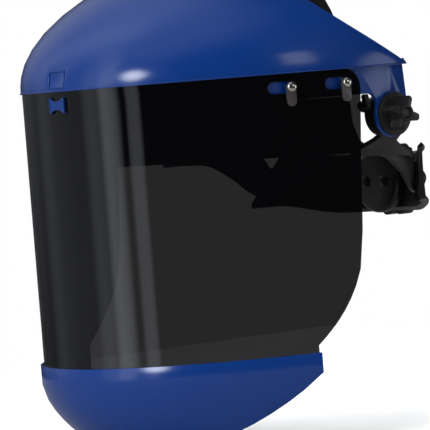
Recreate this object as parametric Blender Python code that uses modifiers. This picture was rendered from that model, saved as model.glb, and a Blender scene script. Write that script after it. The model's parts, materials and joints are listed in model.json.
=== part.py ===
"""Protective face shield on a ratchet headgear.

The origin is the middle of the tilt axis, which runs from ear to ear along X.
+X is the wearer's left, -Y is forwards and +Z is up. Lengths are in metres.
"""

import math

import bmesh
import bpy
from mathutils import Matrix, Vector

MM = 0.001
GAP = 0.3 * MM  # clearance between neighbouring pieces

# Window: a sheet bent to half an ellipse
WINDOW_HALF_WIDTH = 107.5 * MM
WINDOW_DEPTH = 130.0 * MM
WINDOW_CENTRE_Y = -25.5 * MM
WINDOW_THICKNESS = 1.5 * MM
WINDOW_HEIGHT = 165.5 * MM
WINDOW_CORNER = 11.6 * MM
WINDOW_SETBACK = 7.0 * MM  # how far the rear edge leans forwards down to the cheek
CHEEK_TOP = 0.544 * WINDOW_HEIGHT  # depth under the brim where the cheek cut begins
CHEEK_DEPTH = 0.3686 * WINDOW_HEIGHT
CHEEK_SETBACK = 41.5 * MM
CHEEK_POWER = 2.15
WINDOW_COLUMNS = 36

# Crown: band behind the window, brim and dome
BRIM_Z = 27.8 * MM
BRIM_OVERHANG = 0.8 * MM
BAND_BOTTOM_Z = 12.5 * MM
SHELL_THICKNESS = 2.2 * MM
DOME_TOP = 83.1 * MM  # height above the brim where the dome would close
DOME_POWER = 2.13
DOME_ROOT = 1.09
DOME_ROWS = 13
CROWN_COLUMNS = 36
PEAK_Y = 14.5 * MM  # rear tip of the rim, above the ear
PEAK_Z = 28.6 * MM
RIM_FRONT_Y = -48.2 * MM  # the rim curves up and forwards to this line
RIM_FRONT_Z = 86.5 * MM
EAR_RADIUS = 13.0 * MM
EAR_FILLET = 6.0 * MM
EAR_BLEND = 0.6 * MM  # how far the rear edge starts inside the ear's round
EAR_SHOULDER_Y = 16.5 * MM
EAR_SHOULDER_Z = 8.0 * MM
EAR_CHAMFER = 1.8 * MM
EAR_THICKNESS = 3.6 * MM
POCKET_WIDTH = 13.0 * MM
POCKET_HEIGHT = 9.0 * MM
POCKET_DEPTH = 0.8 * MM
POCKET_RISE = 6.5 * MM  # height of the pocket's middle above the brim
TAB_WIDTH = 9.0 * MM
TAB_DROP = 3.5 * MM

# Fastenings of the window
FASTENER_Z = 19.8 * MM
HOOK_WIDTH = 12.0 * MM
HOOK_HEIGHT = 8.0 * MM
HOOK_WAIST = 4.0 * MM
HOOK_PROUD = 1.0 * MM
FASTENER_ANGLES = {"rear": math.radians(5.2), "front": math.radians(21.0)}
SLOT_LENGTH = 16.5 * MM
SLOT_WIDTH = 6.6 * MM
TOGGLE_LENGTH = 13.2 * MM
TOGGLE_WIDTH = 5.2 * MM
TOGGLE_THICKNESS = 2.2 * MM
RIVET_RADIUS = 1.3 * MM
RIVET_HEAD_RADIUS = 2.85 * MM
RIVET_HEAD_HEIGHT = 1.7 * MM
RIVET_TAIL_HEIGHT = 1.0 * MM

# Chin guard
CHIN_LAP = 10.3 * MM  # how far the rim laps up over the window's lower edge
CHIN_RIM_Z = BRIM_Z - WINDOW_HEIGHT + CHIN_LAP
CHIN_THICKNESS = 1.8 * MM
CHIN_WALL = 11.0 * MM
CHIN_FLOOR = 66.0 * MM  # depth under the wall where the bowl would close
CHIN_POWER = 1.6
CHIN_ROWS = 8
CHIN_END_Y = WINDOW_CENTRE_Y - CHEEK_SETBACK + 0.5 * MM
CHIN_EDGE_SLOPE = 1.16
CHIN_COLUMNS = 32

# Tilt joint, stacked inwards along X from the shell's half width abreast of the pivot
SHELL_X = WINDOW_HALF_WIDTH * math.sqrt(1.0 - (WINDOW_CENTRE_Y / WINDOW_DEPTH) ** 2)
EAR_OUTER_X = SHELL_X - 0.19 * MM
EAR_INNER_X = EAR_OUTER_X - EAR_THICKNESS
ARM_OUTER_X = EAR_INNER_X - 4.4 * MM
ARM_INNER_X = ARM_OUTER_X - 3.0 * MM
BORE_NEAR_X = ARM_INNER_X - 14.0 * MM  # the bolt's bores run between these two
BORE_FAR_X = EAR_OUTER_X + 25.0 * MM
ARM_LAP = 6.0 * MM  # how far the arm's foot laps down over the headband
ARM_DISC_RADIUS = 12.0 * MM
WASHER_RADIUS = 9.0 * MM
BOLT_RADIUS = 2.0 * MM
BOLT_HEAD_RADIUS = 4.5 * MM
BOLT_HEAD_HEIGHT = 2.0 * MM
BOLT_RECESS = 3.0 * MM  # how far the bolt's end sits under the knob's face
KNOB_FLANGE_RADIUS = 12.4 * MM
KNOB_FLANGE_THICKNESS = 1.3 * MM
KNOB_HEIGHT = 10.6 * MM
KNOB_LOBES = 4
KNOB_RADIUS = 10.0 * MM
KNOB_LOBE_RADIUS = 2.2 * MM
KNOB_HUB_RADIUS = 4.8 * MM
KNOB_TURN = math.radians(-20.0)
LUG_LENGTH = 8.0 * MM
LUG_WIDTH = 3.0 * MM
LUG_OUTER_X = EAR_INNER_X + 1.2 * MM
LUG_THICKNESS = 3.0 * MM
LUG_Y = -16.6 * MM
LUG_Z = 8.4 * MM
LUG_FOOT_RADIUS = 3.4 * MM
LUG_POST_RADIUS = 2.3 * MM

# Headgear
RING_HALF_WIDTH = 80.0 * MM
RING_FRONT = 105.0 * MM
RING_REAR = 88.0 * MM
BAND_THICKNESS = 2.2 * MM
TAIL_END_Y = 74.0 * MM
ARM_THICKNESS = 2.4 * MM
STRAP_WIDTH = 25.0 * MM
STRAP_TOP_WIDTH = 22.0 * MM
STRAP_THICKNESS = 1.8 * MM
STRAP_FOOT_Z = 12.0 * MM
STRAP_TOP_Z = 90.0 * MM
STRAP_REAR_Y = -9.5 * MM
STRAP_LEAN = 6.0 * MM  # how far the arc leans backwards at the top
STRAP_OVERLAP = 26.0 * MM
STRAP_SQUARENESS = 2.2
STRAP_COLUMNS = 18
PEG_RADIUS = 2.4 * MM
PEG_HEAD_RADIUS = 5.0 * MM
PEG_HEAD_HEIGHT = 1.4 * MM
PAD_THICKNESS = 7.0 * MM
PAD_BOTTOM_Z = -16.0 * MM
PAD_TOP_Z = 18.0 * MM
PAD_SPREAD = math.radians(58.0)

# Rear cradle and its ratchet
CRADLE_FRONT_Y = 59.5 * MM
CRADLE_SLANT = 16.0 * MM  # how far its ends lean forwards down to the lower edge
CRADLE_THICKNESS = 2.2 * MM
CRADLE_FLANGE = 1.6 * MM
CRADLE_COLUMNS = 34
CRADLE_TOP_Z = (-20.0 * MM, -26.0 * MM)  # at its ends and at the back
CRADLE_BOTTOM_Z = (-51.0 * MM, -58.0 * MM)
RATCHET_Z = -41.0 * MM
PINION_RADIUS = 5.4 * MM
PINION_TEETH = 12
PINION_HEIGHT = 2.2 * MM
SHAFT_RADIUS = 3.0 * MM
COVER_RADIUS = 19.0 * MM
COVER_THICKNESS = 1.5 * MM
COVER_HEIGHT = 5.5 * MM
COVER_CORNER = 3.0 * MM
SCREW_SPACING = 16.0 * MM
SCREW_RADIUS = 1.5 * MM
SCREW_HEAD_RADIUS = 3.0 * MM
SCREW_HEAD_HEIGHT = 1.6 * MM
DIAL_RADIUS = 22.0 * MM
DIAL_HEIGHT = 9.0 * MM
DIAL_GRIPS = 10
DIAL_GRIP_DEPTH = 1.2 * MM

FRONT = math.pi / 2  # plan angle of the front, seen from above
BLUE = (0.010, 0.040, 0.230)
BLACK = (0.012, 0.012, 0.013)
SMOKE = (0.020, 0.020, 0.022)
NICKEL = (0.780, 0.750, 0.680)
GREY = (0.090, 0.085, 0.088)
FOAM = (0.030, 0.030, 0.032)


def clear_scene():
    for item in list(bpy.data.objects):
        bpy.data.objects.remove(item, do_unlink=True)


def new_collection(name):
    group = bpy.data.collections.new(name)
    bpy.context.scene.collection.children.link(group)
    return group


def move_to(item, group):
    for owner in list(item.users_collection):
        owner.objects.unlink(item)
    group.objects.link(item)


def paint(item, colour, roughness, metallic=0.0, alpha=1.0):
    """Give the piece a material of its own."""
    finish = bpy.data.materials.new(item.name)
    finish.use_nodes = True
    shader = finish.node_tree.nodes["Principled BSDF"]
    shader.inputs["Base Color"].default_value = (*colour, 1.0)
    shader.inputs["Roughness"].default_value = roughness
    shader.inputs["Metallic"].default_value = metallic
    shader.inputs["Alpha"].default_value = alpha
    item.data.materials.clear()
    item.data.materials.append(finish)


def keep(item, parent, colour, roughness, metallic=0.0, alpha=1.0):
    """Finish a piece: collection, parent, shading and material."""
    move_to(item, PARTS)
    item.parent = parent
    item.data.shade_smooth()
    item.data.set_sharp_from_angle(angle=math.radians(35.0))
    paint(item, colour, roughness, metallic, alpha)
    return item


def hide_as_tool(item):
    """Put a shape that only cuts or joins with the guides."""
    move_to(item, GUIDES)
    item.hide_render = True
    item.display_type = "WIRE"
    return item


def combine(item, tool, operation):
    change = item.modifiers.new(operation.title(), "BOOLEAN")
    change.operation = operation
    change.object = hide_as_tool(tool)


def cut(item, tool):
    combine(item, tool, "DIFFERENCE")


def join(item, tool):
    combine(item, tool, "UNION")


def mesh_object(name, shape):
    mesh = bpy.data.meshes.new(name)
    shape.to_mesh(mesh)
    shape.free()
    item = bpy.data.objects.new(name, mesh)
    bpy.context.scene.collection.objects.link(item)
    return item


def sheet(name, rows, thickness):
    """Shell lofted through rows of points and thickened inwards.

    The rows run downwards, and each runs from the wearer's left round the front.
    """
    shape = bmesh.new()
    made = [[shape.verts.new(point) for point in row] for row in rows]
    for upper, lower in zip(made, made[1:]):
        for corners in zip(upper, upper[1:], lower[1:], lower):
            shape.faces.new(corners)
    item = mesh_object(name, shape)
    wall = item.modifiers.new("Wall", "SOLIDIFY")
    wall.thickness = thickness
    wall.offset = -1.0
    wall.use_even_offset = True
    return item


def plate(name, outline, thickness):
    """Flat plate in its own XY plane, centred on it."""
    curve = bpy.data.curves.new(name, "CURVE")
    curve.dimensions = "2D"
    curve.fill_mode = "BOTH"
    curve.extrude = thickness / 2
    spline = curve.splines.new("POLY")
    spline.points.add(len(outline) - 1)
    for point, place in zip(spline.points, outline):
        point.co = (*place, 0.0, 1.0)
    spline.use_cyclic_u = True
    drawn = bpy.data.objects.new(name, curve)
    bpy.context.scene.collection.objects.link(drawn)
    seen = drawn.evaluated_get(bpy.context.evaluated_depsgraph_get())
    shape = bmesh.new()
    shape.from_mesh(bpy.data.meshes.new_from_object(seen))
    bpy.data.objects.remove(drawn, do_unlink=True)
    bmesh.ops.remove_doubles(shape, verts=shape.verts, dist=1e-6)
    return mesh_object(name, shape)


def cylinder(name, radius, start, end, sides=32):
    """Cylinder from one point to another."""
    start, end = Vector(start), Vector(end)
    bpy.ops.mesh.primitive_cylinder_add(vertices=sides, radius=radius, depth=(end - start).length)
    item = bpy.context.active_object
    item.name = name
    turn = (end - start).to_track_quat("Z", "Y").to_matrix().to_4x4()
    item.matrix_world = Matrix.Translation((start + end) / 2) @ turn
    return item


def turned(name, profile, place, sides=32):
    """Solid of revolution about its own Z, from (radius, height) points, top to bottom."""
    shape = bmesh.new()
    points = [shape.verts.new((radius, 0.0, height)) for radius, height in profile]
    for pair in zip(points, points[1:]):
        shape.edges.new(pair)
    item = mesh_object(name, shape)
    lathe = item.modifiers.new("Lathe", "SCREW")
    lathe.axis = "Z"
    lathe.steps = sides
    lathe.render_steps = sides
    lathe.use_merge_vertices = True
    lathe.merge_threshold = 1e-6
    item.matrix_world = place
    return item


def arc(centre, radius, start, end, steps):
    """Points on a circle from one angle to another, in degrees."""
    angles = [math.radians(start + (end - start) * i / steps) for i in range(steps + 1)]
    return [(centre[0] + radius * math.cos(a), centre[1] + radius * math.sin(a)) for a in angles]


def capsule(length, width):
    """Round-ended outline along X, centred."""
    reach = (length - width) / 2
    return arc((reach, 0.0), width / 2, -90, 90, 8) + arc((-reach, 0.0), width / 2, 90, 270, 8)


def blend(value, table):
    """Straight-line value between the points of a short table."""
    if value <= table[0][0]:
        return table[0][1]
    for (x0, y0), (x1, y1) in zip(table, table[1:]):
        if value <= x1:
            return y0 + (y1 - y0) * (value - x0) / (x1 - x0)
    return table[-1][1]


def smooth(value):
    """Ease from 0 to 1."""
    value = min(1.0, max(0.0, value))
    return value * value * (3.0 - 2.0 * value)


def around(angle, half_width, depth, centre_y, offset=0.0):
    """Point on a plan ellipse, moved out along its normal."""
    normal = Vector((math.cos(angle) / half_width, -math.sin(angle) / depth)).normalized()
    x = half_width * math.cos(angle)
    y = centre_y - depth * math.sin(angle)
    return x + normal.x * offset, y + normal.y * offset


def on_window(angle, offset=0.0, scale=1.0):
    """Point on the window's outer face, or on a smaller section like it."""
    return around(angle, WINDOW_HALF_WIDTH * scale, WINDOW_DEPTH * scale, WINDOW_CENTRE_Y, offset)


def angle_at(y, scale=1.0):
    """Plan angle on the left side where the section reaches this Y."""
    return math.asin(min(1.0, (WINDOW_CENTRE_Y - y) / (WINDOW_DEPTH * scale)))


def spread(first, count):
    """Even angles from one on the left to its mirror image on the right."""
    return [first + (math.pi - 2.0 * first) * i / count for i in range(count + 1)]


def window_frame(angle, z, offset=0.0):
    """Frame on the window's outer face: X backwards on the left, Y up, Z outwards."""
    x, y = on_window(angle, offset)
    normal = Vector((math.cos(angle) / WINDOW_HALF_WIDTH, -math.sin(angle) / WINDOW_DEPTH, 0.0))
    normal.normalize()
    up = Vector((0.0, 0.0, 1.0))
    frame = Matrix((up.cross(normal), up, normal)).transposed().to_4x4()
    return Matrix.Translation((x, y, z)) @ frame


def side_prism(name, outline, x_low, x_high):
    """Prism along X whose outline is given in Y and Z."""
    item = plate(name, outline, x_high - x_low)
    turn = Matrix(((0, 0, 1), (1, 0, 0), (0, 1, 0))).to_4x4()
    item.matrix_world = Matrix.Translation(((x_low + x_high) / 2, 0.0, 0.0)) @ turn
    return item


def sides():
    """Both sides: a name, and the sign of X."""
    return (("left", 1.0), ("right", -1.0))


def fasteners():
    """The four window fasteners: a name, and the plan angle."""
    for place, angle in FASTENER_ANGLES.items():
        yield f"left_{place}", angle
        yield f"right_{place}", math.pi - angle


# Window

BAND_OFFSET = -(WINDOW_THICKNESS + GAP)  # the band's outer face, from the window's


def window_setback(depth):
    """How far the window's rear edge is in front of its top corner."""
    back = WINDOW_SETBACK * smooth(depth / CHEEK_TOP)
    if depth < WINDOW_CORNER:
        back += WINDOW_CORNER - math.sqrt(WINDOW_CORNER**2 - (WINDOW_CORNER - depth) ** 2)
    if depth > CHEEK_TOP:
        share = min(1.0, (depth - CHEEK_TOP) / CHEEK_DEPTH)
        back += (CHEEK_SETBACK - WINDOW_SETBACK) * share**CHEEK_POWER
    return back


def window_depths():
    """Depths of the window's rows under its top edge."""
    corner = [WINDOW_CORNER * (1.0 - math.cos(math.radians(15.0 * i))) for i in range(7)]
    cheek = [CHEEK_TOP + CHEEK_DEPTH * math.sqrt(i / 8) for i in range(9)]
    return corner + [0.5 * CHEEK_TOP] + cheek + [WINDOW_HEIGHT]


def bow_tie(grow):
    """Outline of the hook at the front of the crown, made larger all round by grow."""
    half, tall, waist = HOOK_WIDTH / 2 + grow, HOOK_HEIGHT / 2 + grow, HOOK_WAIST / 2 + grow
    neck = HOOK_WIDTH / 5
    right = [(half, -tall), (half, tall), (neck, waist)]
    left = [(-neck, waist), (-half, tall), (-half, -tall), (-neck, -waist)]
    return right + left + [(neck, -waist)]


def make_window(parent):
    top = BRIM_Z - GAP
    rows = []
    for depth in window_depths():
        angles = spread(math.asin(window_setback(depth) / WINDOW_DEPTH), WINDOW_COLUMNS)
        rows.append([(*on_window(angle), top - depth) for angle in angles])
    item = sheet("window", rows, WINDOW_THICKNESS)
    hole = plate("window_hook_hole", bow_tie(GAP), 12.0 * MM)
    hole.matrix_world = window_frame(FRONT, FASTENER_Z)
    cut(item, hole)
    for name, angle in fasteners():
        slot = plate(f"window_slot_{name}", capsule(SLOT_LENGTH, SLOT_WIDTH), 12.0 * MM)
        forwards = -1.0 if angle < FRONT else 1.0
        shift = Matrix.Translation((forwards * (SLOT_LENGTH - SLOT_WIDTH) / 2, 0.0, 0.0))
        slot.matrix_world = window_frame(angle, FASTENER_Z) @ shift
        cut(item, slot)
    return keep(item, parent, SMOKE, 0.08, alpha=0.35)


# Crown


def dome_scale(height):
    """Size of the dome's section at a height above the brim, as a share of the brim's."""
    return (1.0 - (max(0.0, height) / DOME_TOP) ** DOME_POWER) ** (1.0 / DOME_ROOT)


def rear_edge_y(z):
    """Y of the crown's rear edge at a height: up from the ear to the peak, then the rim."""
    if z < PEAK_Z:
        ear = (0.0, EAR_RADIUS - EAR_BLEND)
        return blend(z, (ear, (EAR_SHOULDER_Z, EAR_SHOULDER_Y), (PEAK_Z, PEAK_Y)))
    share = min(1.0, (z - PEAK_Z) / (RIM_FRONT_Z - PEAK_Z))
    return RIM_FRONT_Y + (PEAK_Y - RIM_FRONT_Y) * (1.0 - share) ** 2


def crown_row(z, offset, scale=1.0):
    angles = spread(angle_at(rear_edge_y(z), scale), CROWN_COLUMNS)
    return [(*on_window(angle, offset, scale), z) for angle in angles]


def crown_height():
    """Height above the brim where the slanted rim meets the front of the dome."""
    low, high = 0.0, DOME_TOP
    for _ in range(40):
        middle = (low + high) / 2
        front = WINDOW_CENTRE_Y - WINDOW_DEPTH * dome_scale(middle)
        low, high = (middle, high) if front < rear_edge_y(BRIM_Z + middle) else (low, middle)
    return low


def crown_rows():
    rows = []
    tall = crown_height() - 0.4 * MM
    for i in range(DOME_ROWS + 1):
        height = tall * (0.5 + 0.5 * math.cos(math.pi * i / DOME_ROWS))
        rows.append(crown_row(BRIM_Z + height, BRIM_OVERHANG, dome_scale(height)))
    for z in (BRIM_Z, EAR_SHOULDER_Z, 0.0, -EAR_RADIUS - 6.0 * MM):
        rows.append(crown_row(z, BAND_OFFSET))
    return rows


def band_and_ear_outline():
    """Outline of what is cut away under the band and round the two ears."""
    centre_z = BAND_BOTTOM_Z - EAR_FILLET
    reach = EAR_RADIUS + EAR_FILLET
    centre_y = -math.sqrt(reach**2 - centre_z**2)
    touch = math.degrees(math.atan2(centre_z, centre_y))
    fillet = arc((centre_y, centre_z), EAR_FILLET, 90, touch - 180, 6)
    lobe = arc((0.0, 0.0), EAR_RADIUS, touch, 360, 20)
    far = 0.3
    return [(-far, BAND_BOTTOM_Z)] + fillet + lobe[1:] + [(far, 0.0), (far, -far), (-far, -far)]


def bolt_bore(name, sign):
    """Cutter for the pivot bolt's clearance hole on one side."""
    ends = (sign * BORE_NEAR_X, 0, 0), (sign * BORE_FAR_X, 0, 0)
    return cylinder(name, BOLT_RADIUS + GAP, *ends, 24)


def add_ears(item):
    for side, sign in sides():
        rim, thickness = EAR_RADIUS - 0.05 * MM, EAR_OUTER_X - EAR_INNER_X
        profile = [(0.0, thickness), (rim, thickness), (rim, EAR_CHAMFER)]
        profile += [(rim - EAR_CHAMFER, 0.0), (0.0, 0.0)]
        join(item, turned(f"ear_{side}", profile, out_along_x(sign, EAR_INNER_X), 48))
        ends = (sign * BORE_NEAR_X, 0, 0), (sign * EAR_INNER_X, 0, 0)
        cut(item, cylinder(f"ear_face_{side}", EAR_RADIUS + 1.0 * MM, *ends))
        cut(item, bolt_bore(f"ear_bore_{side}", sign))


def add_pocket(item):
    """Shallow recess above the hook, square to the dome there."""
    _, y = on_window(FRONT, BRIM_OVERHANG, dome_scale(POCKET_RISE))
    step = 1.0 * MM
    _, higher = on_window(FRONT, BRIM_OVERHANG, dome_scale(POCKET_RISE + step))
    bpy.ops.mesh.primitive_cube_add(size=1.0)
    box = bpy.context.active_object
    box.name = "crown_pocket"
    size = Matrix.Diagonal((POCKET_WIDTH, 2.0 * POCKET_DEPTH, POCKET_HEIGHT, 1.0))
    lean = Matrix.Rotation(-math.atan2(higher - y, step), 4, "X")
    box.matrix_world = Matrix.Translation((0.0, y, BRIM_Z + POCKET_RISE)) @ lean @ size
    cut(item, box)


def add_hook(item):
    depth = HOOK_PROUD - BAND_OFFSET + 1.0 * MM
    hook = plate("crown_hook", bow_tie(0.0), depth)
    hook.matrix_world = window_frame(FRONT, FASTENER_Z, HOOK_PROUD - depth / 2)
    join(item, hook)
    height = TAB_DROP + 3.0 * MM
    half = TAB_WIDTH / 2
    corners = [(-half, -height / 2), (half, -height / 2), (half, height / 2), (-half, height / 2)]
    tab = plate("crown_tab", corners, 1.4 * MM)
    middle = BAND_BOTTOM_Z - TAB_DROP + height / 2
    tab.matrix_world = window_frame(FRONT, middle, BAND_OFFSET - 1.1 * MM)
    join(item, tab)


def make_crown(parent):
    item = sheet("crown", crown_rows(), SHELL_THICKNESS)
    cut(item, side_prism("crown_trim", band_and_ear_outline(), -0.15, 0.15))
    add_ears(item)
    add_pocket(item)
    add_hook(item)
    for name, angle in fasteners():
        place = window_frame(angle, FASTENER_Z)
        ends = [place @ Vector((0.0, 0.0, reach * MM)) for reach in (-8.0, 2.0)]
        cut(item, cylinder(f"crown_hole_{name}", RIVET_RADIUS + GAP, *ends, 16))
    return keep(item, parent, BLUE, 0.18)


# Rivets and toggles


def make_rivet(name, angle, parent):
    """Domed head outside the toggle, and a tail spread behind the crown's band."""
    head = 2.0 * GAP + TOGGLE_THICKNESS
    back = BAND_OFFSET - SHELL_THICKNESS - 2.0 * GAP
    dome = arc((0.0, head), 1.0, 90, 0, 6)
    profile = [(x * RIVET_HEAD_RADIUS, head + (y - head) * RIVET_HEAD_HEIGHT) for x, y in dome]
    profile[0] = (0.0, profile[0][1])
    profile += [(RIVET_RADIUS, head), (RIVET_RADIUS, back), (2.6 * MM, back)]
    profile += [(2.2 * MM, back - RIVET_TAIL_HEIGHT), (0.0, back - RIVET_TAIL_HEIGHT)]
    item = turned(f"rivet_{name}", profile, window_frame(angle, FASTENER_Z), 24)
    return keep(item, parent, NICKEL, 0.2, metallic=1.0)


def make_toggle(name, angle, parent):
    """Turn button that hangs across the slot and passes it when turned level."""
    item = plate(f"toggle_{name}", capsule(TOGGLE_LENGTH, TOGGLE_WIDTH), TOGGLE_THICKNESS)
    drop = (TOGGLE_LENGTH - TOGGLE_WIDTH) / 2
    shape = bmesh.new()
    shape.from_mesh(item.data)
    lift = GAP + TOGGLE_THICKNESS / 2
    move = Matrix.Translation((0.0, -drop, lift)) @ Matrix.Rotation(FRONT, 4, "Z")
    bmesh.ops.transform(shape, matrix=move, verts=shape.verts)
    shape.to_mesh(item.data)
    shape.free()
    place = window_frame(angle, FASTENER_Z)
    item.matrix_world = place
    ends = [place @ Vector((0.0, 0.0, reach * MM)) for reach in (-2.0, 6.0)]
    cut(item, cylinder(f"toggle_hole_{name}", RIVET_RADIUS + GAP, *ends, 16))
    edge = item.modifiers.new("Edge", "BEVEL")
    edge.width = 0.5 * MM
    edge.segments = 2
    item = keep(item, None, GREY, 0.45)
    item.parent = parent
    return item


# Chin guard

CHIN_OFFSET = CHIN_THICKNESS + GAP


def chin_scale(depth):
    """Size of the bowl's section at a depth under its rim, as a share of the rim's."""
    return math.sqrt(1.0 - (max(0.0, depth - CHIN_WALL) / CHIN_FLOOR) ** CHIN_POWER)


def chin_end_y(depth):
    return CHIN_END_Y - CHIN_EDGE_SLOPE * max(0.0, depth - CHIN_WALL)


def chin_bowl():
    """Depth under the wall where the bowl's free edge meets its front."""
    low, high = 0.0, CHIN_FLOOR
    for _ in range(40):
        middle = (low + high) / 2
        front = WINDOW_CENTRE_Y - WINDOW_DEPTH * chin_scale(CHIN_WALL + middle)
        low, high = (middle, high) if front < chin_end_y(CHIN_WALL + middle) else (low, middle)
    return low


def make_chin_guard(parent):
    bowl = chin_bowl() - 0.4 * MM
    depths = [CHIN_WALL + bowl * (i / CHIN_ROWS) ** 0.75 for i in range(CHIN_ROWS + 1)]
    depths.insert(0, 0.0)
    rows = []
    for depth in depths:
        scale = chin_scale(depth)
        angles = spread(angle_at(chin_end_y(depth), scale), CHIN_COLUMNS)
        row = [(*on_window(angle, CHIN_OFFSET, scale), CHIN_RIM_Z - depth) for angle in angles]
        rows.append(row)
    return keep(sheet("chin_guard", rows, CHIN_THICKNESS), parent, BLUE, 0.18)


# Headgear


def on_ring(angle, offset=0.0):
    """Point on the head ring: plan angle 0 is the left, a quarter turn is the front."""
    depth = RING_FRONT if math.sin(angle) > 0.0 else RING_REAR
    return around(angle, RING_HALF_WIDTH, depth, 0.0, offset)


def ring_angle(y):
    depth = RING_FRONT if y < 0.0 else RING_REAR
    return math.asin(-y / depth)


def band_top(y):
    """Upper edge of the headband, with the notch behind the overhead strap."""
    places = (-60, -46, -36, -9, -7.5, -4, 2, 34, 50, 54)
    heights = (20, 18, 12, 12, -4, -13, -17, -19, -21, -29)
    return blend(y / MM, list(zip(places, heights))) * MM


def band_bottom(y):
    places = (-105, 4, 22, 34, 41, 48, 60)
    heights = (-18, -21, -26, -35, -42, -47, -47)
    return blend(y / MM, list(zip(places, heights))) * MM


def band_angles():
    """Plan angles of the headband's columns, closer together round the notch."""
    stops = (67, 60, 54, 50, 45, 41, 34, 28, 20, 12, 7, 2, -4, -7.5, -9, -16, -26, -36, -46, -53, -60)
    left = [ring_angle(y * MM) for y in (TAIL_END_Y / MM, *stops)]
    front = [left[-1] + (FRONT - left[-1]) * i / 9 for i in range(1, 10)]
    half = left + front
    return half + [math.pi - angle for angle in reversed(half[:-1])]


def make_headband(parent):
    angles = band_angles()
    rows = []
    for share in (0.0, 0.5, 1.0):
        row = []
        for angle in angles:
            x, y = on_ring(angle)
            row.append((x, y, band_top(y) * (1.0 - share) + band_bottom(y) * share))
        rows.append(row)
    return keep(sheet("headband", rows, BAND_THICKNESS), parent, BLACK, 0.42)


def make_brow_pad(parent):
    """Soft pad behind the forehead band."""
    angles = spread(FRONT - PAD_SPREAD, 16)
    offset = -BAND_THICKNESS - 2.0 * GAP
    rows = [[(*on_ring(angle, offset), z) for angle in angles] for z in (PAD_TOP_Z, PAD_BOTTOM_Z)]
    item = sheet("brow_pad", rows, PAD_THICKNESS)
    edge = item.modifiers.new("Edge", "BEVEL")
    edge.width = 2.0 * MM
    edge.segments = 2
    return keep(item, parent, FOAM, 0.9)


def strap_point(share, lift):
    """Point on the overhead arc, from the left foot at 0 to the right foot at 1."""
    angle = math.pi * share
    power = 2.0 / STRAP_SQUARENESS
    half = RING_HALF_WIDTH + lift
    rise = STRAP_TOP_Z - STRAP_FOOT_Z - GAP + lift
    x = half * math.copysign(abs(math.cos(angle)) ** power, math.cos(angle))
    return x, STRAP_FOOT_Z + GAP + rise * math.sin(angle) ** power


def make_strap(side, sign, parent):
    """One overhead strap; the left one passes over the right one at the top."""
    end = math.acos(-STRAP_OVERLAP / RING_HALF_WIDTH) / math.pi
    rows = [[], [], []]
    for i in range(STRAP_COLUMNS + 1):
        share = end * i / STRAP_COLUMNS
        over = (STRAP_THICKNESS + GAP) * smooth(share * 3.0) if sign > 0 else 0.0
        x, z = strap_point(share, over)
        narrow = (STRAP_WIDTH - STRAP_TOP_WIDTH) * math.sin(math.pi * share)
        rear = STRAP_REAR_Y + STRAP_LEAN * math.sin(math.pi * share)
        for row, across in zip(rows, (0.0, 0.5, 1.0)):
            y = rear - (STRAP_WIDTH - narrow) * across
            base_x, _ = on_ring(ring_angle(y))
            row.append((sign * (x - (RING_HALF_WIDTH - base_x) * (1.0 - smooth(share * 4.0))), y, z))
    if sign < 0:
        rows.reverse()
    item = sheet(f"overhead_strap_{side}", rows, STRAP_THICKNESS)
    middle_y = STRAP_REAR_Y + STRAP_LEAN - STRAP_TOP_WIDTH / 2
    low, high = (0.0, middle_y, 0.05), (0.0, middle_y, 0.12)
    cut(item, cylinder(f"strap_hole_{side}", PEG_RADIUS + GAP, low, high, 20))
    return keep(item, parent, BLACK, 0.42)


def make_strap_peg(parent):
    """Push peg that holds the two straps together."""
    y = STRAP_REAR_Y + STRAP_LEAN - STRAP_TOP_WIDTH / 2
    top = 2.0 * GAP + STRAP_THICKNESS + GAP
    low = -STRAP_THICKNESS - GAP
    profile = [(0.0, top + PEG_HEAD_HEIGHT), (PEG_HEAD_RADIUS - 0.6 * MM, top + PEG_HEAD_HEIGHT)]
    profile += [(PEG_HEAD_RADIUS, top + 0.5 * MM), (PEG_HEAD_RADIUS, top), (PEG_RADIUS, top)]
    profile += [(PEG_RADIUS, low), (PEG_RADIUS + 0.9 * MM, low - 0.2 * MM), (0.0, low - 1.8 * MM)]
    item = turned("strap_peg", profile, Matrix.Translation((0.0, y, STRAP_TOP_Z)), 24)
    return keep(item, parent, BLACK, 0.42)


def arm_edges(rise):
    """Front and rear edge of a side arm, from its foot at 0 to the disc at 1."""
    front = (-14.0 + 12.0 * smooth(rise * 3.0) - 4.0 * smooth(rise * 2.0 - 1.0)) * MM
    rear = (50.0 - 35.0 * smooth(rise * 4.0) - 4.0 * rise) * MM
    return front, rear


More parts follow.
